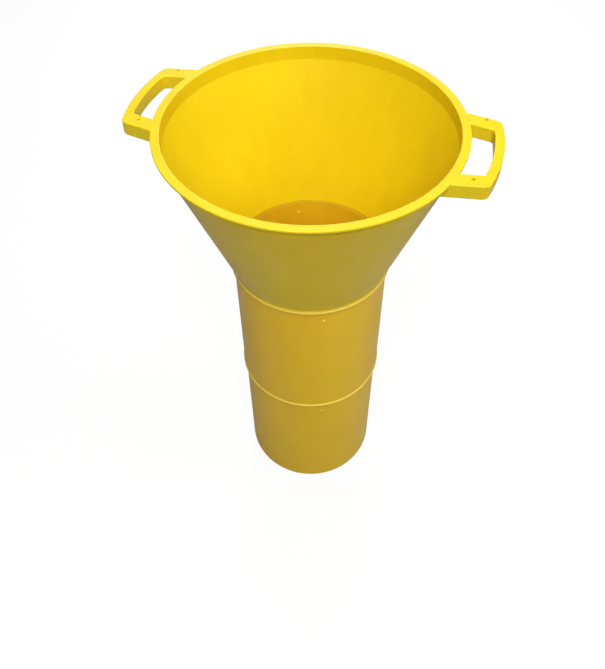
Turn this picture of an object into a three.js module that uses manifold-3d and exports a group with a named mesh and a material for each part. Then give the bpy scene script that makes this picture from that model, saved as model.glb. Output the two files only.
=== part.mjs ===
// Telescoping funnel: a wide hopper with two loop handles, and two thin tubes that slide up into it.
// Millimetres, +Z up. The origin is the centre of the outlet's end face, and the handles lie along X.
import * as THREE from 'three';
import { mergeVertices } from 'three/addons/utils/BufferGeometryUtils.js';
import Module from 'manifold-3d';

const wasm = await Module();
wasm.setup();

// Overall sizes
const HEIGHT = 620;
const RIM_RADIUS = 178;
const SEGMENTS = 72;

// Hopper: a flat rim flange, an upright band under it, the cone and a short collar
const RIM_INNER_RADIUS = 167.9;
const RIM_THICKNESS = 3;
const RIM_EDGE = 1.2;
const BAND_FOOT = HEIGHT - 17.7;
const BAND_WALL = 1.5;
const BAND_DRAFT = 0.8;
const BAND_FOOT_RADIUS = RIM_INNER_RADIUS - BAND_DRAFT + BAND_WALL;
const BAND_TOP_RADIUS = RIM_INNER_RADIUS + BAND_WALL;
const CONE_FOOT = 417.8;
const COLLAR_RADIUS = 103.1;
const COLLAR_BORE = 102;

// Sliding joints: each outer section ends in a lip that catches the flange of the section inside it
const UPPER_LIP = 411.5;
const LOWER_LIP = 206;
const LEDGE_HEIGHT = 1.2;
const LEDGE_WIDTH = 0.5;
const BEAD_HEIGHT = 3.6;
const BEAD_PROUD = 1.3;
const FLANGE_GAP = 0.3;
const FLANGE_HEIGHT = 1.8;
const FLANGE_TOP_WIDTH = 0.5;
const FLARE_DEPTH = 0.4;

// Tubes: the radii are of the outer face, just under the lip above and at the foot
const WALL = 1.1;
const UPPER_TUBE = { top: 100.7, foot: 99.8 };
const LOWER_TUBE = { top: 97.4, foot: 96.3 };
const OUTLET_EDGE = 0.8;

// Snap nubs on the tubes
const NUB_ANGLES = [-132, -64, 48, 116];
const NUB_DROP = 16.4;
const INNER_NUB_DROP = 11.2;
const NUB_SIZE = { radial: 0.7, sunk: 0.2, width: 2.8, height: 1.9 };

// Loop handles: an outer loop and a finger gap, each from `root` out to an arc about the axis.
// `atRoot` and `atArc` are half the length across the handle there. Both handles sit a little behind
// the axis, by HANDLE_OFFSET towards +Y.
const HANDLE_LOOP = { root: 150, radius: 213.2, atRoot: 69, atArc: 59.5, corner: 9 };
const FINGER_GAP = { root: 153, radius: 202.6, atRoot: 48.6, atArc: 40.8, corner: 6 };
const HANDLE_THICKNESS = 17.5;
const HANDLE_OFFSET = 2.1;
const HANDLE_EDGE = 1.5;
const HANDLE_CLEARANCE = 0.3;

// Two dimples in the top of each handle, one on the front arm and one on the back arm
const DIMPLE = { radius: 2.3, depth: 6, x: 187.4, front: -48.4, back: 60.6 };

const rad = THREE.MathUtils.degToRad;

// Turns a closed [radius, height] profile about Z; it runs up the outside and down the inside
function revolve(profile) {
  const points = [...profile, profile[0]].map(([r, z]) => new THREE.Vector2(r, z));
  return new THREE.LatheGeometry(points, SEGMENTS).rotateX(Math.PI / 2);
}

// Merges a geometry down to shared positions and hands it to manifold-3d
function toSolid(geometry) {
  const bare = geometry.clone();
  bare.deleteAttribute('normal');
  bare.deleteAttribute('uv');
  const merged = mergeVertices(bare, 1e-4);
  return new wasm.Manifold(new wasm.Mesh({
    numProp: 3,
    vertProperties: new Float32Array(merged.attributes.position.array),
    triVerts: new Uint32Array(merged.index.array),
  }));
}

function toGeometry(solid) {
  const mesh = solid.getMesh();
  const geometry = new THREE.BufferGeometry();
  geometry.setAttribute('position', new THREE.BufferAttribute(mesh.vertProperties, 3));
  geometry.setIndex(new THREE.BufferAttribute(mesh.triVerts, 1));
  geometry.computeVertexNormals();
  return geometry;
}

// The lower end of a section: a ledge inside and a rounded bead outside
function lipProfile(z, bore, wallRadius) {
  const bead = wallRadius + BEAD_PROUD;
  return [
    [bore - LEDGE_WIDTH, z + LEDGE_HEIGHT],
    [bore - LEDGE_WIDTH, z],
    [bead, z],
    [bead, z + BEAD_HEIGHT / 4],
    [wallRadius + BEAD_PROUD / 2, z + (BEAD_HEIGHT * 3) / 4],
    [wallRadius, z + BEAD_HEIGHT],
  ];
}

function hopperGeometry() {
  const rimFoot = HEIGHT - RIM_THICKNESS;
  return revolve([
    [COLLAR_BORE, UPPER_LIP + LEDGE_HEIGHT],
    ...lipProfile(UPPER_LIP, COLLAR_BORE, COLLAR_RADIUS),
    [COLLAR_RADIUS, CONE_FOOT],
    [BAND_FOOT_RADIUS, BAND_FOOT],
    [BAND_TOP_RADIUS, rimFoot],
    [RIM_RADIUS - RIM_EDGE / 2, rimFoot],
    [RIM_RADIUS, rimFoot + RIM_EDGE / 2],
    [RIM_RADIUS, HEIGHT - RIM_EDGE],
    [RIM_RADIUS - RIM_EDGE / 3, HEIGHT - RIM_EDGE / 3],
    [RIM_RADIUS - RIM_EDGE, HEIGHT],
    [RIM_INNER_RADIUS + RIM_EDGE, HEIGHT],
    [RIM_INNER_RADIUS, HEIGHT - RIM_EDGE],
    [RIM_INNER_RADIUS - BAND_DRAFT, BAND_FOOT],
    [COLLAR_BORE, CONE_FOOT + (COLLAR_RADIUS - COLLAR_BORE) / 2],
  ]);
}

// The upper end of a tube: a flange that stands on the ledge of the section outside it, flared inside
function flangeProfile(lip, radius, outerBore) {
  const foot = lip + LEDGE_HEIGHT + FLANGE_GAP;
  const edge = outerBore - FLANGE_GAP;
  return [
    [radius, foot],
    [edge, foot],
    [edge, foot + FLANGE_HEIGHT],
    [edge - FLANGE_TOP_WIDTH, foot + FLANGE_HEIGHT],
    [radius - WALL, foot - FLARE_DEPTH],
  ];
}

// A shallow dome on a tube wall; outward is +1 on the outer face and -1 on the inner face
function nub(angle, radius, z, outward) {
  const { radial, sunk, width, height } = NUB_SIZE;
  const dome = new THREE.SphereGeometry(1, 12, 8).scale(radial, width, height);
  dome.translate(radius - outward * sunk, 0, z);
  return toSolid(dome.rotateZ(rad(angle)));
}

function withNubs(tube, radius, z, outward) {
  return NUB_ANGLES.reduce((solid, angle) => solid.add(nub(angle, radius, z, outward)), tube);
}

function upperTubeGeometry() {
  const { top, foot } = UPPER_TUBE;
  const bore = foot - WALL;
  const nubZ = UPPER_LIP - NUB_DROP;
  const slope = (top - foot) / (UPPER_LIP - LOWER_LIP);
  const shell = toSolid(revolve([
    [bore, LOWER_LIP + LEDGE_HEIGHT],
    ...lipProfile(LOWER_LIP, bore, foot),
    [top, UPPER_LIP],
    ...flangeProfile(UPPER_LIP, top, COLLAR_BORE),
  ]));
  const outside = withNubs(shell, top - slope * NUB_DROP, nubZ, 1);
  const innerRadius = top - WALL - slope * INNER_NUB_DROP;
  return toGeometry(withNubs(outside, innerRadius, UPPER_LIP - INNER_NUB_DROP, -1));
}

function lowerTubeGeometry() {
  const { top, foot } = LOWER_TUBE;
  const slope = (top - foot) / LOWER_LIP;
  const shell = toSolid(revolve([
    [foot - WALL - OUTLET_EDGE / 4, 0],
    [foot - OUTLET_EDGE / 2, 0],
    [foot, OUTLET_EDGE * 2],
    [top, LOWER_LIP],
    ...flangeProfile(LOWER_LIP, top, UPPER_TUBE.foot - WALL),
    [foot - WALL, OUTLET_EDGE * 2],
  ]));
  return toGeometry(withNubs(shell, top - slope * NUB_DROP, LOWER_LIP - NUB_DROP, 1));
}

// Adds a line to `corner` and rounds it towards `next`
function roundCorner(path, corner, next, size) {
  const here = path.currentPoint.clone();
  const before = corner.clone().lerp(here, size / corner.distanceTo(here));
  const after = corner.clone().lerp(next, size / corner.distanceTo(next));
  path.lineTo(before.x, before.y);
  path.quadraticCurveTo(corner.x, corner.y, after.x, after.y);
}

// Points along an arc about the origin, between the two half-widths -y and +y
function arcPoints(radius, y, steps) {
  const half = Math.asin(y / radius);
  return Array.from({ length: steps + 1 }, (_, i) => {
    const a = THREE.MathUtils.lerp(-half, half, i / steps);
    return new THREE.Vector2(radius * Math.cos(a), radius * Math.sin(a));
  });
}

// A closed path from the root at -y, round the arc and back to the root at +y
function loopPath(path, { root, radius, atRoot, atArc, corner }) {
  const arc = arcPoints(radius, atArc, 12);
  const last = arc.length - 1;
  path.moveTo(root, -atRoot);
  roundCorner(path, arc[0], arc[1], corner);
  arc.slice(1, last).forEach((p) => path.lineTo(p.x, p.y));
  roundCorner(path, arc[last], new THREE.Vector2(root, atRoot), corner);
  path.lineTo(root, atRoot);
  return path;
}

// One handle along +X: an outline with the finger gap cut through, fitted round the rim.
// `back` is +1 where the hopper's back is towards +Y, and -1 for the handle that is turned round.
function handleGeometry(back) {
  const shape = loopPath(new THREE.Shape(), HANDLE_LOOP);
  shape.holes.push(loopPath(new THREE.Path(), FINGER_GAP));
  const plate = new THREE.ExtrudeGeometry(shape, {
    depth: HANDLE_THICKNESS - 2 * HANDLE_EDGE, curveSegments: 4,
    bevelSize: HANDLE_EDGE, bevelOffset: -HANDLE_EDGE, bevelThickness: HANDLE_EDGE, bevelSegments: 1,
  }).translate(0, back * HANDLE_OFFSET, HEIGHT - HANDLE_THICKNESS + HANDLE_EDGE);
  const fitted = toSolid(plate).subtract(hopperEnvelope());
  const dimples = [dimple(back * DIMPLE.front), dimple(back * DIMPLE.back)];
  return toGeometry(dimples.reduce((solid, tool) => solid.subtract(tool), fitted));
}

// The hopper's outside near the rim, grown by the clearance that the handles keep to it
function hopperEnvelope() {
  const gap = HANDLE_CLEARANCE;
  const rimFoot = HEIGHT - RIM_THICKNESS - gap;
  return toSolid(revolve([
    [0, BAND_FOOT - gap],
    [BAND_FOOT_RADIUS + gap, BAND_FOOT - gap],
    [BAND_TOP_RADIUS + gap, rimFoot],
    [RIM_RADIUS + gap, rimFoot],
    [RIM_RADIUS + gap, HEIGHT + 1],
    [0, HEIGHT + 1],
  ]));
}

function dimple(y) {
  const { radius, depth, x } = DIMPLE;
  const drill = new THREE.CylinderGeometry(radius, radius, 2 * depth, 16).rotateX(Math.PI / 2);
  return toSolid(drill.translate(x, y, HEIGHT));
}

function plastic(color) {
  return new THREE.MeshStandardMaterial({ color, roughness: 0.45, metalness: 0 });
}

function part(name, geometry, color) {
  const mesh = new THREE.Mesh(geometry, plastic(color));
  mesh.name = name;
  return mesh;
}

const HOPPER_YELLOW = 0xf2d21a;
const TUBE_AMBER = 0xe0b83c;

const hopper = new THREE.Group();
hopper.add(part('hopper', hopperGeometry(), HOPPER_YELLOW));
hopper.add(part('right_handle', handleGeometry(1), HOPPER_YELLOW));
const leftHandle = part('left_handle', handleGeometry(-1), HOPPER_YELLOW);
leftHandle.rotation.z = Math.PI;
hopper.add(leftHandle);

const funnel = new THREE.Group();
funnel.add(hopper);
funnel.add(part('upper_tube', upperTubeGeometry(), TUBE_AMBER));
funnel.add(part('lower_tube', lowerTubeGeometry(), TUBE_AMBER));

export default funnel;
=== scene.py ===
import math

import bpy
import numpy as np
from mathutils import Matrix, Vector


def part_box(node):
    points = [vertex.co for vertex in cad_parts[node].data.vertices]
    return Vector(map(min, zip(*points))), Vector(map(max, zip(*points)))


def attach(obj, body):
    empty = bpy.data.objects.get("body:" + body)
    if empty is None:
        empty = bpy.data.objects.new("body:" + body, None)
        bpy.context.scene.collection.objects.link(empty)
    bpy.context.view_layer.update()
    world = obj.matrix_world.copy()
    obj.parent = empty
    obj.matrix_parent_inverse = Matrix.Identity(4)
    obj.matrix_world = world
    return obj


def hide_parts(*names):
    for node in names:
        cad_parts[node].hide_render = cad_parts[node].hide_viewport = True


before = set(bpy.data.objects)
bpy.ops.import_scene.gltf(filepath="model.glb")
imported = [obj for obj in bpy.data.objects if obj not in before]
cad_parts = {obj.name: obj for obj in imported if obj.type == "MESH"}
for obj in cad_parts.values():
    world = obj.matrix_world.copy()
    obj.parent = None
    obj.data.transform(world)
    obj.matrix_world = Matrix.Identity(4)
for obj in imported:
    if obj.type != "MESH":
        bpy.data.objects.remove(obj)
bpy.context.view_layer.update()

# The telescoping funnel: three moulded pieces built round the CAD bodies, in metres, +Z up, handles along X.

MM = 0.001

# Sizes that the CAD parts in model.glb give
HOPPER_LOW, HOPPER_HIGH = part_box("hopper")
UPPER_TUBE_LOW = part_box("upper_tube")[0]
HANDLE_LOW, HANDLE_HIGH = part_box("right_handle")
HEIGHT = HOPPER_HIGH.z
RIM_RADIUS = HOPPER_HIGH.x
UPPER_LIP = HOPPER_LOW.z
LOWER_LIP = UPPER_TUBE_LOW.z
HANDLE_REACH = HANDLE_HIGH.x
HANDLE_FOOT = HANDLE_LOW.z

# Hopper sizes, as the CAD has them: a flat rim flange, an upright band under it, the cone and a short collar
RIM_INNER_RADIUS = 167.9 * MM
RIM_THICKNESS = 3 * MM
BAND_FOOT = HEIGHT - 17.7 * MM
BAND_WALL = 1.5 * MM
BAND_DRAFT = 0.8 * MM
CONE_FOOT = 417.8 * MM
COLLAR_RADIUS = 103.1 * MM
COLLAR_BORE = 102 * MM
RIM_FILLET = 0.6 * MM
RIM_LOW_EDGE = 0.7 * MM
RIM_TOP_EDGE = 0.8 * MM
CONE_BLEND = 2.5 * MM
NECK_BLEND = 1.5 * MM

# Lips and flanges of the sliding joints
LEDGE_HEIGHT = 1.2 * MM
LEDGE_WIDTH = 0.5 * MM
BEAD_HEIGHT = 3.6 * MM
BEAD_PROUD = 1.3 * MM
FLANGE_GAP = 0.3 * MM
FLANGE_HEIGHT = 1.8 * MM
FLANGE_TOP_WIDTH = 0.5 * MM
FLARE_DEPTH = 0.4 * MM
LEDGE_FILLET = 0.15 * MM
LEDGE_EDGE = 0.3 * MM
BEAD_LOW_EDGE = 0.5 * MM
BEAD_TOP_EDGE = 0.9 * MM
BEAD_FILLET = 1.0 * MM
FLANGE_FILLET = 0.15 * MM
FLANGE_EDGE = 0.2 * MM
FLARE_BLEND = 1.0 * MM

# Tubes: outer radii at the lip that holds the tube and at its lower end, and the heights of both
WALL = 1.1 * MM
OUTLET_EDGE = 0.8 * MM
OUTLET_INNER_CORNER = 0.3 * MM
OUTLET_OUTER_CORNER = 0.4 * MM
OUTLET_BLEND = 1.0 * MM
UPPER_TUBE = {"top": 100.7 * MM, "foot": 99.8 * MM, "lip": UPPER_LIP, "low": LOWER_LIP}
LOWER_TUBE = {"top": 97.4 * MM, "foot": 96.3 * MM, "lip": LOWER_LIP, "low": 0.0}

# Snap nubs, at these angles in degrees and this far below the lip above them. Inner ones are in the neck.
# Each is steep above and ramped below, and painted paler, a painted highlight, where it stands proud.
NUB_ANGLES = (-132, -64, 48, 116)
NUB_DROP = 16.4 * MM
INNER_NUB_DROP = 11.2 * MM
NUB_HEIGHT = 0.5 * MM
NUB_WIDTH = 2 * MM
NUB_TOP = 0.4 * MM
NUB_RAMP = 3 * MM
NUB_SQUARENESS = 4
# How fast the painted highlight grows with how far a point stands proud
HIGHLIGHT_GAIN = 1.6

# Handles: an outer loop and a finger gap, each with straight sides from `root` out to an arc about the axis.
# `at_root` and `at_arc` are half the length across the handle there. Both sit a little behind the axis.
HANDLE_LOOP = {"root": 150 * MM, "radius": HANDLE_REACH, "at_root": 69 * MM, "at_arc": 59.5 * MM}
FINGER_GAP = {"root": 153 * MM, "radius": 202.6 * MM, "at_root": 48.6 * MM, "at_arc": 40.8 * MM}
LOOP_CORNER = 9 * MM
GAP_CORNER = 5 * MM
HANDLE_OFFSET = 2.1 * MM
HANDLE_TOP_EDGE = 1.0 * MM
HANDLE_LOW_EDGE = 2.0 * MM

# Dimples in the handles' arms: each narrows to its floor and widens a little past the surface
DIMPLE_X = 187.4 * MM
DIMPLE_FRONT = -48.4 * MM
DIMPLE_BACK = 60.6 * MM
DIMPLE_RADIUS = 2.3 * MM
DIMPLE_DEPTH = 6 * MM
DIMPLE_FLOOR_RADIUS = 0.75 * DIMPLE_RADIUS
DIMPLE_MOUTH_RADIUS = 1.15 * DIMPLE_RADIUS
DIMPLE_FLOOR_BLEND = 0.6 * MM
DIMPLE_MOUTH_BLEND = 0.2 * MM
DIMPLE_SINK = 0.3 * MM
DIMPLE_ABOVE = 0.4 * MM

# Columns of the turned meshes, in degrees; a tube's come closer together within reach of a nub
HOPPER_TURN = 1.25
TUBE_TURN = 1.5
NUB_TURN = 0.2
NUB_REACH = 2
DIMPLE_TURN = 10

# Steps per rounded corner or arc, and the longest gaps between points along an outline
CORNER_STEPS = 6
DIMPLE_STEPS = 3
ARC_STEPS = 20
ROW_SPACING = 8 * MM
NUB_ROW_SPACING = 0.2 * MM
HANDLE_SPACING = 4 * MM

# How near the ends of a long flat its extra points are, and how near their axis the turned tools come
FLAT_HOLD = 0.7 * MM
AXIS_GAP = 0.02 * MM

# The angle from which an edge is shaded crisp, the weight of large faces, and the limit on mitred insets
CREASE = math.radians(32)
FACE_WEIGHT = 60
SHARPEST_MITRE = 0.3

# The camera stands this many rim radii off the axis and above the rim, turned this far from the handles
CAMERA_TURN = math.radians(16.55)
CAMERA_BACK = 3.8012
CAMERA_UP = 2.6459
CAMERA_PITCH = 0.7944
CAMERA_YAW = -0.0155
CAMERA_ROLL = -0.0118
CAMERA_LENS = 39.06
CAMERA_SHIFT = -0.1121

# The studio: a floor just under the outlet and a pale world. Both look brighter to the camera than the light
# that they give.
FLOOR_RADIUS = 12.0
FLOOR_SIDES = 96
FLOOR_GAP = 0.2 * MM
FLOOR_SHADE = (0.37, 0.37, 0.37, 1)
FLOOR_ROUGHNESS = 0.9
FLOOR_SPECULAR = 0.2
FLOOR_GLOW = 1.2
FLOOR_GLOW_SHARE = 0.75
WORLD_LIGHT = 0.13
WORLD_GLOW = 0.92

# Round lamps: name, place, height on the axis that it points at, width and power
LAMPS = [
    ("key", (0.37, -1.3, 2.3), 0.5, 1.3, 48),
    ("side", (1.9, 0.4, 1.9), 0.5, 1.2, 21),
    ("overhead", (0, 0, 2.6), 0.5, 1.2, 9),
    ("back", (-0.45, 1.5, 2.15), 0.5, 1.2, 8),
    ("low_back", (-0.55, 1.8, 0.75), 0.4, 1.2, 16),
]

# Plastics. Proud points are painted paler, a painted highlight. A band tints the plastic between two heights
# by a share, and keeps it at least so rough: a pale painted highlight on the hopper's bead, and dark painted
# shade on the upper tube's flange top, seen in the neck.
# A pale tint: a painted highlight, on the hopper's bead band below and on any proud points
HOPPER_HIGHLIGHT_TINT = (0.83, 0.58, 0.1, 1)
HOPPER_BEAD_HIGHLIGHT = {
    "low": UPPER_LIP,
    "high": UPPER_LIP + BEAD_HEIGHT,
    "tint": HOPPER_HIGHLIGHT_TINT,
    "share": 0.8,
    "rough": 0.3,
}
# Painted shade: the upper tube's flange top, seen in the neck, is tinted dark.
FLANGE_PAINTED_SHADE = {
    "low": UPPER_LIP + LEDGE_HEIGHT,
    "high": UPPER_LIP + LEDGE_HEIGHT + FLANGE_GAP + FLANGE_HEIGHT,
    "tint": (0.5, 0.30, 0.0, 1),
    "share": 0.97,
    "rough": 1.0,
}
BAND_EDGE = 0.4 * MM
HOPPER_PLASTIC = {
    "pale": (0.80, 0.592, 0.006, 1),
    "deep": (0.74, 0.54, 0.004, 1),
    # Pale tint for a painted highlight
    "highlight_tint": HOPPER_HIGHLIGHT_TINT,
    "subsurface": 0.15,
    "roughness": 0.38,
    "bands": [HOPPER_BEAD_HIGHLIGHT],
}
TUBE_PLASTIC = {
    "pale": (0.82, 0.525, 0.012, 1),
    "deep": (0.76, 0.475, 0.008, 1),
    # Pale tint for the painted highlight on points that stand proud
    "highlight_tint": (0.98, 0.76, 0.12, 1),
    "subsurface": 0.2,
    "roughness": 0.36,
    "bands": [FLANGE_PAINTED_SHADE],
}
SUBSURFACE_REACH = (1.0, 0.55, 0.1)
SUBSURFACE_DEPTH = 3 * MM
PLASTIC_IOR = 1.49
PLASTIC_SPECULAR = 0.3

# The plastics' texture: noise scales per metre, the part of each noise that shows, and how much it counts
NOISE_DETAIL = 3.0
NOISE_ROUGHNESS = 0.55
CLOUD_SCALE = 14.0
CLOUD_RANGE = (0.3, 0.7)
CLOUD_SHARE = 0.6
STREAK_SCALE = 55.0
STREAK_RANGE = (0.35, 0.65)
STREAK_SHARE = 0.4
STREAK_STRETCH = (1.0, 1.0, 0.12)
SCUFF_SCALE = 40.0
SCUFF_RANGE = (0.56, 0.7)
SCUFF_DETAIL = 8.0
SCUFF_RAGGEDNESS = 0.7
SCUFF_STRETCH = (1.0, 1.0, 5.0)
SCUFF_DULLNESS = 0.12
GLOSS_SCALE = 30.0
GLOSS_RANGE = (0.3, 0.7)
GLOSS_SPREAD = 0.05
PEEL_SCALE = 900.0
PEEL_SHARE = 0.12
SAG_SCALE = 45.0
RELIEF_DETAIL = 1.0
RELIEF_STRENGTH = 0.25
RELIEF_DEPTH = 0.4 * MM


# Outlines and meshes

def arc_round(before, corner, after, radius, steps):
    """Points of the arc that rounds one corner of an outline."""
    back = (before - corner).normalized()
    onward = (after - corner).normalized()
    half = back.angle(onward) / 2
    centre = corner + (back + onward).normalized() * (radius / math.sin(half))
    spoke = corner + back * (radius / math.tan(half)) - centre
    left = back.x * onward.y - back.y * onward.x < 0
    turn = (math.pi - 2 * half) * (1 if left else -1)
    return [centre + Matrix.Rotation(turn * i / steps, 2) @ spoke for i in range(steps + 1)]


def rounded(corners, steps=CORNER_STEPS):
    """A closed outline from corners of (x, y, radius); a corner with no radius stays a point."""
    spots = [Vector(c[:2]) for c in corners]
    points = []
    for i, (_, _, radius) in enumerate(corners):
        if radius == 0:
            points.append(spots[i])
        else:
            after = spots[(i + 1) % len(spots)]
            points += arc_round(spots[i - 1], spots[i], after, radius, steps)
    return points


def subdivided(outline, spacing):
    """The closed outline with points added along it, no further apart than spacing(point)."""
    points = []
    for a, b in zip(outline, outline[1:] + outline[:1]):
        length = (b - a).length
        along = 0.0
        while along < length:
            point = a.lerp(b, along / length)
            points.append(point)
            step = spacing(point)
            along += step if length - along > 1.5 * step else length
    return points


def held(outline):
    """The closed outline with a point near each end of its long straight stretches, to keep them flat."""
    points = []
    for a, b in zip(outline, outline[1:] + outline[:1]):
        points.append(a)
        if (b - a).length > 4 * FLAT_HOLD:
            inset = FLAT_HOLD / (b - a).length
            points += [a.lerp(b, inset), a.lerp(b, 1 - inset)]
    return points


def new_object(name, points, faces):
    """An object in the scene with the given mesh."""
    mesh = bpy.data.meshes.new(name)
    mesh.from_pydata([tuple(p) for p in points], [], faces)
    piece = bpy.data.objects.new(name, mesh)
    bpy.context.scene.collection.objects.link(piece)
    return piece


def lathe(name, outline, angles, swell=None):
    """The closed outline of (radius, height) turned about Z; swell(angle, height, radius) adds to it."""
    ring = np.array([tuple(p) for p in outline])
    turn = np.radians(np.array(angles))[:, None]
    radius, height = (np.repeat(ring[None, :, k], len(turn), 0) for k in (0, 1))
    if swell:
        radius = radius + swell(turn, height, radius)
    points = np.stack([radius * np.cos(turn), radius * np.sin(turn), height], -1).reshape(-1, 3)
    rows, columns = len(ring), len(turn)
    faces = []
    for i in range(columns):
        a, b = i * rows, (i + 1) % columns * rows
        for j in range(rows):
            k = (j + 1) % rows
            faces.append((a + j, b + j, b + k, a + k))
    return new_object(name, points, faces)


def inward(outline):
    """For each point of a left-turning outline, the step that insets it by 1, mitred at the corners."""
    steps = []
    for before, here, after in zip(outline[-1:] + outline[:-1], outline, outline[1:] + outline[:1]):
        first = (here - before).normalized()
        second = (after - here).normalized()
        normal = (Vector((-first.y, first.x)) + Vector((-second.y, second.x))).normalized()
        steps.append(normal / max(SHARPEST_MITRE, normal.dot(Vector((-first.y, first.x)))))
    return steps


def slab(name, outline, low, high, low_edge, high_edge):
    """A plate over the outline, with its lower and upper edges rounded."""
    quarter = [math.pi / 2 * i / CORNER_STEPS for i in range(CORNER_STEPS + 1)]
    rings = [(low_edge * (1 - math.sin(t)), low + low_edge * (1 - math.cos(t))) for t in quarter]
    rings += [(high_edge * (1 - math.cos(t)), high - high_edge * (1 - math.sin(t))) for t in quarter]
    moves = inward(outline)
    points = [(*(p + m * inset), z) for inset, z in rings for p, m in zip(outline, moves)]
    count = len(outline)
    faces = [tuple(reversed(range(count)))]
    for level in range(len(rings) - 1):
        a, b = level * count, (level + 1) * count
        faces += [(a + j, a + (j + 1) % count, b + (j + 1) % count, b + j) for j in range(count)]
    faces.append(tuple(range(len(points) - count, len(points))))
    return new_object(name, points, faces)


def boolean(piece, tools, operation):
    """Joins the tools to the piece, or cuts them from it, and removes them."""
    for tool in tools:
        change = piece.modifiers.new("boolean", "BOOLEAN")
        change.operation = operation
        change.solver = "MANIFOLD"
        change.object = tool
    depsgraph = bpy.context.evaluated_depsgraph_get()
    result = bpy.data.meshes.new_from_object(piece.evaluated_get(depsgraph))
    piece.modifiers.clear()
    piece.data = result
    for tool in tools:
        bpy.data.objects.remove(tool)


def finish_surface(piece):
    """Smooth shading with crisp creases, and normals that keep the flats flat."""
    piece.data.shade_smooth()
    piece.data.set_sharp_from_angle(angle=CREASE)
    weighted = piece.modifiers.new("weighted_normals", "WEIGHTED_NORMAL")
    weighted.keep_sharp = True
    weighted.weight = FACE_WEIGHT


# The hopper moulding

def lip_corners(z, bore, wall_radius):
    """Corners of a section's lower end: the ledge inside and the rounded bead outside."""
    bead = wall_radius + BEAD_PROUD
    return [
        (bore - LEDGE_WIDTH, z + LEDGE_HEIGHT, LEDGE_FILLET),
        (bore - LEDGE_WIDTH, z, LEDGE_EDGE),
        (bead, z, BEAD_LOW_EDGE),
        (bead, z + BEAD_HEIGHT / 4, BEAD_TOP_EDGE),
        (wall_radius, z + BEAD_HEIGHT, BEAD_FILLET),
    ]


def hopper_outline():
    """The hopper's wall in section, from the collar's ledge out, up, over the rim and back down inside."""
    rim_foot = HEIGHT - RIM_THICKNESS
    band_radius = RIM_INNER_RADIUS + BAND_WALL
    corners = [
        (COLLAR_BORE, UPPER_LIP + LEDGE_HEIGHT, 0),
        *lip_corners(UPPER_LIP, COLLAR_BORE, COLLAR_RADIUS),
        (COLLAR_RADIUS, CONE_FOOT, CONE_BLEND),
        (band_radius - BAND_DRAFT, BAND_FOOT, CONE_BLEND),
        (band_radius, rim_foot, RIM_FILLET),
        (RIM_RADIUS, rim_foot, RIM_LOW_EDGE),
        (RIM_RADIUS, HEIGHT, RIM_TOP_EDGE),
        (RIM_INNER_RADIUS, HEIGHT, RIM_TOP_EDGE),
        (RIM_INNER_RADIUS - BAND_DRAFT, BAND_FOOT, CONE_BLEND),
        (COLLAR_BORE, CONE_FOOT + (COLLAR_RADIUS - COLLAR_BORE) / 2, NECK_BLEND),
    ]
    return subdivided(held(rounded(corners)), lambda point: ROW_SPACING)


def arc_corners(radius, y_start, y_end):
    """Unrounded corners along an arc about Z, from one offset across the handle to another."""
    a, b = (math.asin(y / radius) for y in (y_start, y_end))
    turns = [a + (b - a) * i / ARC_STEPS for i in range(ARC_STEPS + 1)]
    return [(radius * math.cos(turn), radius * math.sin(turn), 0) for turn in turns]


def loop_corners(loop, corner, offset):
    """A loop's corners from its root at -Y, round the arc with its ends rounded, to its root at +Y."""
    arc = arc_corners(loop["radius"], -loop["at_arc"], loop["at_arc"])
    rounded_arc = [(*arc[0][:2], corner), *arc[1:-1], (*arc[-1][:2], corner)]
    corners = [(loop["root"], -loop["at_root"], 0), *rounded_arc, (loop["root"], loop["at_root"], 0)]
    return [(x, y + offset, radius) for x, y, radius in corners]


def hopper_core():
    """A solid that fills the hopper to the middle of its band's wall."""
    radius = RIM_INNER_RADIUS + BAND_WALL / 2
    above = HEIGHT + RIM_THICKNESS
    corners = [
        (AXIS_GAP, BAND_FOOT, 0),
        (radius - BAND_DRAFT, BAND_FOOT, 0),
        (radius, HEIGHT, 0),
        (radius, above, 0),
        (AXIS_GAP, above, 0),
    ]
    return lathe("hopper_core", rounded(corners), np.arange(0, 360, HOPPER_TURN))


def handle(side):
    """One rounded handle along +X or -X, cut off inside the wall that it joins."""
    offset = side * HANDLE_OFFSET
    gap = loop_corners(FINGER_GAP, GAP_CORNER, offset)
    outline = rounded([*loop_corners(HANDLE_LOOP, LOOP_CORNER, offset), *reversed(gap)])
    outline = subdivided(outline, lambda point: HANDLE_SPACING)
    piece = slab("handle", outline, HANDLE_FOOT, HEIGHT, HANDLE_LOW_EDGE, HANDLE_TOP_EDGE)
    if side < 0:
        piece.data.transform(Matrix.Rotation(math.pi, 4, "Z"))
    boolean(piece, [hopper_core()], "DIFFERENCE")
    return piece


def dimple(x, y):
    """The tool that sinks one round, countersunk dimple into a handle."""
    outline = rounded([
        (AXIS_GAP, -DIMPLE_DEPTH, 0),
        (DIMPLE_FLOOR_RADIUS, -DIMPLE_DEPTH, DIMPLE_FLOOR_BLEND),
        (DIMPLE_RADIUS, -DIMPLE_SINK, DIMPLE_MOUTH_BLEND),
        (DIMPLE_MOUTH_RADIUS, DIMPLE_ABOVE, 0),
        (AXIS_GAP, DIMPLE_ABOVE, 0),
    ], DIMPLE_STEPS)
    tool = lathe("dimple", outline, np.arange(0, 360, DIMPLE_TURN))
    tool.data.transform(Matrix.Translation((x, y, HEIGHT)))
    return tool


def build_hopper():
    piece = lathe("hopper_moulding", hopper_outline(), np.arange(0, 360, HOPPER_TURN))
    boolean(piece, [handle(1), handle(-1)], "UNION")
    tools = [dimple(x, y) for x in (-DIMPLE_X, DIMPLE_X) for y in (DIMPLE_FRONT, DIMPLE_BACK)]
    boolean(piece, tools, "DIFFERENCE")
    finish_surface(piece)
    return piece


# The two tube mouldings

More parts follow.
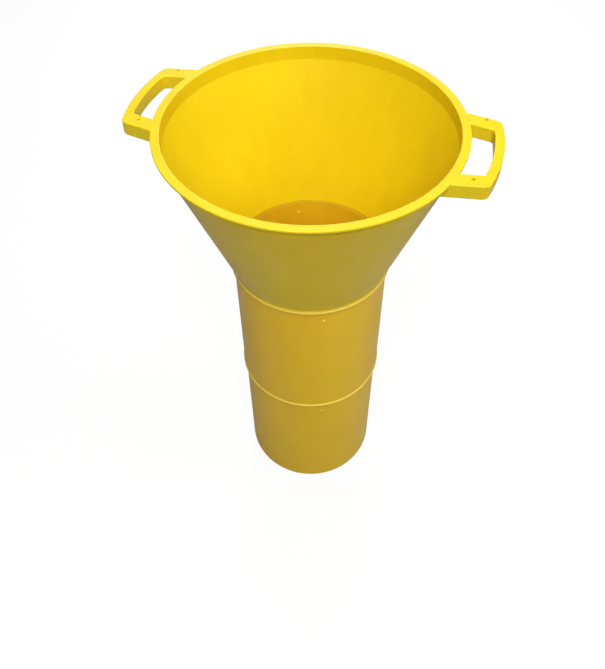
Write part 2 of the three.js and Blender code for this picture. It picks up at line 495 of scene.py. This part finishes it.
def tube_columns():
    """Angles round a tube, in degrees, closer together across the snap nubs."""
    across = np.arange(-NUB_REACH, NUB_REACH + NUB_TURN / 2, NUB_TURN)
    fine = [nub + turn for nub in NUB_ANGLES for turn in across]
    return np.unique(np.round(np.array([*np.arange(0, 360, TUBE_TURN), *fine]) % 360, 3))


def tube_radius(tube, z):
    """Outer radius of a tube's tapered wall."""
    share = (z - tube["low"]) / (tube["lip"] - tube["low"])
    return tube["foot"] + share * (tube["top"] - tube["foot"])


def nub_swell(tube, nubs):
    """The swell for lathe() that raises nubs, steep above and ramped below.
    Each nub is a height and a side: +1 on the outer face, -1 on the inner face."""
    def swell(angle, height, radius):
        middle = tube_radius(tube, height) - WALL / 2
        total = np.zeros_like(height)
        for z, side in nubs:
            for nub in NUB_ANGLES:
                apart = np.angle(np.exp(1j * (angle - math.radians(nub)))) * radius
                across = np.clip(1 - (apart / NUB_WIDTH) ** NUB_SQUARENESS, 0, 1)
                above, below = (z + NUB_TOP - height) / NUB_TOP, (height - z) / NUB_RAMP + 1
                up = np.clip(np.minimum(above, below), 0, 1)
                total += np.where(side * (radius - middle) > 0, side * NUB_HEIGHT * across * up, 0)
        return total

    return swell


def nub_spacing(nubs):
    """The spacing of rows along a tube, closer together across the nubs."""
    def spacing(point):
        away = min(abs(point.y - z) for z, _ in nubs) - NUB_RAMP
        return min(ROW_SPACING, max(NUB_ROW_SPACING, away))

    return spacing


def flange_corners(tube, outer_bore):
    """Corners of a tube's hidden upper end: the flange that stands on the ledge of the section round it."""
    foot = tube["lip"] + LEDGE_HEIGHT + FLANGE_GAP
    edge = outer_bore - FLANGE_GAP
    return [
        (tube["top"], foot, FLANGE_FILLET),
        (edge, foot, FLANGE_EDGE),
        (edge, foot + FLANGE_HEIGHT, FLANGE_EDGE),
        (edge - FLANGE_TOP_WIDTH, foot + FLANGE_HEIGHT, FLANGE_EDGE),
        (tube["top"] - WALL, foot - FLARE_DEPTH, FLARE_BLEND),
    ]


def mark_painted_highlights(piece, tube):
    """Marks the points that stand proud of the tube's wall, on either face, for a painted highlight."""
    spots = np.array([vertex.co for vertex in piece.data.vertices])
    wall = tube_radius(tube, spots[:, 2])
    radius = np.hypot(spots[:, 0], spots[:, 1])
    proud = np.maximum(radius - wall, wall - WALL - radius)
    highlight_spots = piece.data.attributes.new("highlight_spots", "FLOAT", "POINT")
    highlight_spots.data.foreach_set("value", np.clip(HIGHLIGHT_GAIN * proud / NUB_HEIGHT, 0, 1))


def tube_piece(name, tube, corners, nubs):
    """A tube moulding from its section's corners and its nubs."""
    outline = subdivided(held(rounded(corners)), nub_spacing(nubs))
    piece = lathe(name, outline, tube_columns(), nub_swell(tube, nubs))
    mark_painted_highlights(piece, tube)
    finish_surface(piece)
    return piece


def build_upper_tube():
    bore = UPPER_TUBE["foot"] - WALL
    corners = [
        (bore, LOWER_LIP + LEDGE_HEIGHT, 0),
        *lip_corners(LOWER_LIP, bore, UPPER_TUBE["foot"]),
        (UPPER_TUBE["top"], UPPER_LIP, 0),
        *flange_corners(UPPER_TUBE, COLLAR_BORE),
    ]
    nubs = [(UPPER_LIP - NUB_DROP, 1), (UPPER_LIP - INNER_NUB_DROP, -1)]
    return tube_piece("upper_tube_moulding", UPPER_TUBE, corners, nubs)


def build_lower_tube():
    foot = LOWER_TUBE["foot"]
    corners = [
        (foot - WALL - OUTLET_EDGE / 4, 0, OUTLET_INNER_CORNER),
        (foot - OUTLET_EDGE / 2, 0, OUTLET_OUTER_CORNER),
        (foot, OUTLET_EDGE * 2, OUTLET_BLEND),
        (LOWER_TUBE["top"], LOWER_LIP, 0),
        *flange_corners(LOWER_TUBE, UPPER_TUBE["foot"] - WALL),
        (foot - WALL, OUTLET_EDGE * 2, OUTLET_BLEND),
    ]
    return tube_piece("lower_tube_moulding", LOWER_TUBE, corners, [(LOWER_LIP - NUB_DROP, 1)])


# Plastics

def feed(tree, socket, value):
    """Gives an input socket a value, or links another node's output socket to it."""
    if isinstance(value, bpy.types.NodeSocket):
        tree.links.new(value, socket)
    else:
        socket.default_value = value


def node(tree, kind, **inputs):
    """A shader node with the named inputs fed."""
    made = tree.nodes.new(kind)
    for name, value in inputs.items():
        feed(tree, made.inputs[name], value)
    return made


def noise(tree, vector, scale, detail=NOISE_DETAIL, roughness=NOISE_ROUGHNESS):
    """A noise texture's value, with `scale` features per metre."""
    made = node(tree, "ShaderNodeTexNoise", Vector=vector, Scale=scale, Detail=detail, Roughness=roughness)
    return made.outputs["Fac"]


def ramp(tree, value, span, to_low=0.0, to_high=1.0):
    """Maps the span (low, high) of a value to to_low..to_high, clamped."""
    limits = {"From Min": span[0], "From Max": span[1], "To Min": to_low, "To Max": to_high}
    return node(tree, "ShaderNodeMapRange", Value=value, **limits).outputs["Result"]


def mix(tree, share, a, b):
    """A colour mix; the Mix node's colour sockets come after those for numbers and vectors."""
    made = tree.nodes.new("ShaderNodeMix")
    made.data_type = "RGBA"
    for index, value in ((0, share), (6, a), (7, b)):
        feed(tree, made.inputs[index], value)
    return made.outputs[2]


def math_node(tree, operation, a, b):
    made = tree.nodes.new("ShaderNodeMath")
    made.operation = operation
    feed(tree, made.inputs[0], a)
    feed(tree, made.inputs[1], b)
    return made.outputs[0]


def stretched(tree, vector, factors):
    """The vector with each axis scaled, for streaks."""
    made = node(tree, "ShaderNodeVectorMath", Vector=vector)
    made.operation = "MULTIPLY"
    made.inputs[1].default_value = factors
    return made.outputs["Vector"]


def between(tree, value, low, high, soft):
    """1 between low and high and 0 outside them, with soft ends."""
    rise = ramp(tree, value, (low - soft, low))
    fall = ramp(tree, value, (high, high + soft), 1, 0)
    return math_node(tree, "MULTIPLY", rise, fall)


def mottled(tree, place, plastic):
    """The plastic's colour, mottled and faintly streaked, with a painted highlight: paler at the points
    marked as standing proud.
    """
    cloudy = ramp(tree, noise(tree, place, CLOUD_SCALE), CLOUD_RANGE, 0, CLOUD_SHARE)
    streak = noise(tree, stretched(tree, place, STREAK_STRETCH), STREAK_SCALE)
    streaky = ramp(tree, streak, STREAK_RANGE, 0, STREAK_SHARE)
    base = mix(tree, math_node(tree, "ADD", cloudy, streaky), plastic["deep"], plastic["pale"])
    # Painted highlight: points marked as standing proud are paler.
    highlight_spots = node(tree, "ShaderNodeAttribute")
    highlight_spots.attribute_name = "highlight_spots"
    return mix(tree, highlight_spots.outputs["Fac"], base, plastic["highlight_tint"])


def satin(tree, place, plastic):
    """The plastic's roughness, which varies a little and rises at light scuffs."""
    smoothest, roughest = plastic["roughness"] - GLOSS_SPREAD, plastic["roughness"] + GLOSS_SPREAD
    gloss = ramp(tree, noise(tree, place, GLOSS_SCALE), GLOSS_RANGE, smoothest, roughest)
    scuff = noise(tree, stretched(tree, place, SCUFF_STRETCH), SCUFF_SCALE, SCUFF_DETAIL, SCUFF_RAGGEDNESS)
    scuffed = math_node(tree, "MULTIPLY", ramp(tree, scuff, SCUFF_RANGE), SCUFF_DULLNESS)
    return math_node(tree, "ADD", gloss, scuffed)


def orange_peel(tree, place):
    """The normal of a surface with fine orange peel over slow sagging."""
    peel = math_node(tree, "MULTIPLY", noise(tree, place, PEEL_SCALE, RELIEF_DETAIL), PEEL_SHARE)
    relief = math_node(tree, "ADD", peel, noise(tree, place, SAG_SCALE, RELIEF_DETAIL))
    bump = node(tree, "ShaderNodeBump", Strength=RELIEF_STRENGTH, Distance=RELIEF_DEPTH, Height=relief)
    return bump.outputs["Normal"]


def moulded_plastic(name, plastic):
    """Yellow moulded polypropylene with a satin surface."""
    material = bpy.data.materials.new(name)
    material.use_nodes = True
    tree = material.node_tree
    place = node(tree, "ShaderNodeTexCoord").outputs["Object"]
    height = node(tree, "ShaderNodeSeparateXYZ", Vector=place).outputs["Z"]

    base = mottled(tree, place, plastic)
    gloss = satin(tree, place, plastic)
    # Each band tints the plastic: a painted highlight on the hopper's bead, painted shade on the upper
    # tube's flange.
    for band in plastic["bands"]:
        inside = between(tree, height, band["low"], band["high"], BAND_EDGE)
        base = mix(tree, math_node(tree, "MULTIPLY", inside, band["share"]), base, band["tint"])
        gloss = math_node(tree, "MAXIMUM", gloss, math_node(tree, "MULTIPLY", inside, band["rough"]))

    shader = tree.nodes["Principled BSDF"].inputs
    feed(tree, shader["Base Color"], base)
    feed(tree, shader["Roughness"], gloss)
    feed(tree, shader["Normal"], orange_peel(tree, place))
    shader["Subsurface Weight"].default_value = plastic["subsurface"]
    shader["Subsurface Radius"].default_value = SUBSURFACE_REACH
    shader["Subsurface Scale"].default_value = SUBSURFACE_DEPTH
    shader["IOR"].default_value = PLASTIC_IOR
    shader["Specular IOR Level"].default_value = PLASTIC_SPECULAR
    return material


# Studio

def seen_directly(tree, share):
    """The given share for what the camera sees of the studio directly, and 0 for the light that it gives."""
    return math_node(tree, "MULTIPLY", node(tree, "ShaderNodeLightPath").outputs["Is Camera Ray"], share)


def floor_material():
    """A pale matt floor that looks nearly white, with a faint shadow."""
    material = bpy.data.materials.new("studio_floor")
    material.use_nodes = True
    tree = material.node_tree
    matt = tree.nodes["Principled BSDF"]
    matt.inputs["Base Color"].default_value = FLOOR_SHADE
    matt.inputs["Roughness"].default_value = FLOOR_ROUGHNESS
    matt.inputs["Specular IOR Level"].default_value = FLOOR_SPECULAR
    white = node(tree, "ShaderNodeEmission", Strength=FLOOR_GLOW)
    both = node(tree, "ShaderNodeMixShader", Fac=seen_directly(tree, FLOOR_GLOW_SHARE))
    tree.links.new(matt.outputs["BSDF"], both.inputs[1])
    tree.links.new(white.outputs["Emission"], both.inputs[2])
    tree.links.new(both.outputs["Shader"], tree.nodes["Material Output"].inputs["Surface"])
    return material


def build_floor():
    turns = [2 * math.pi * i / FLOOR_SIDES for i in range(FLOOR_SIDES)]
    rim = [(FLOOR_RADIUS * math.cos(turn), FLOOR_RADIUS * math.sin(turn), -FLOOR_GAP) for turn in turns]
    floor = new_object("studio_floor", rim, [tuple(range(FLOOR_SIDES))])
    floor.data.materials.append(floor_material())


def build_world():
    world = bpy.data.worlds.new("studio")
    world.use_nodes = True
    tree = world.node_tree
    background = tree.nodes["Background"].inputs
    background["Color"].default_value = (1, 1, 1, 1)
    feed(tree, background["Strength"], math_node(tree, "ADD", seen_directly(tree, WORLD_GLOW), WORLD_LIGHT))
    bpy.context.scene.world = world


def build_lamp(name, place, aim_height, width, power):
    """A round lamp that points at the axis, hidden from the camera."""
    data = bpy.data.lights.new(name, "AREA")
    data.shape = "DISK"
    data.size = width
    data.energy = power
    lamp = bpy.data.objects.new(name, data)
    lamp.location = place
    lamp.visible_camera = False
    ray = Vector((0, 0, aim_height)) - Vector(place)
    lamp.rotation_euler = ray.to_track_quat("-Z", "Y").to_euler()
    bpy.context.scene.collection.objects.link(lamp)


def build_camera():
    """The camera stands in front of the funnel, which is turned a little from square."""
    cos, sin = math.cos, math.sin
    ahead = Vector((sin(CAMERA_YAW), cos(CAMERA_YAW), 0))
    forward = cos(CAMERA_PITCH) * ahead - sin(CAMERA_PITCH) * Vector((0, 0, 1))
    level = Vector((cos(CAMERA_YAW), -sin(CAMERA_YAW), 0))
    upright = level.cross(forward)
    right = cos(CAMERA_ROLL) * level + sin(CAMERA_ROLL) * upright
    above = cos(CAMERA_ROLL) * upright - sin(CAMERA_ROLL) * level
    place = Vector((0, -CAMERA_BACK, CAMERA_UP)) * RIM_RADIUS + Vector((0, 0, HEIGHT))
    pose = Matrix.Translation(place) @ Matrix((right, above, -forward)).transposed().to_4x4()

    camera = bpy.data.objects.new("camera", bpy.data.cameras.new("camera"))
    camera.data.lens = CAMERA_LENS
    camera.data.shift_y = CAMERA_SHIFT
    camera.matrix_world = Matrix.Rotation(CAMERA_TURN, 4, "Z") @ pose
    bpy.context.scene.collection.objects.link(camera)
    bpy.context.scene.camera = camera


def dress(piece, body, slot, material, *nodes):
    """Gives a piece its plastic and its body, and hides the CAD nodes that it stands for."""
    piece.data.materials.clear()
    piece.data.materials.append(material)
    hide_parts(*nodes)
    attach(piece, body)


build_camera()
build_floor()
build_world()
for lamp in LAMPS:
    build_lamp(*lamp)

hopper_plastic = moulded_plastic("hopper_plastic", HOPPER_PLASTIC)
tube_plastic = moulded_plastic("tube_plastic", TUBE_PLASTIC)
dress(build_hopper(), "hopper", "hopper_plastic", hopper_plastic, "hopper", "right_handle", "left_handle")
dress(build_upper_tube(), "upper_tube", "tube_plastic", tube_plastic, "upper_tube")
dress(build_lower_tube(), "lower_tube", "tube_plastic", tube_plastic, "lower_tube")

bpy.context.scene.view_settings.view_transform = "Standard"
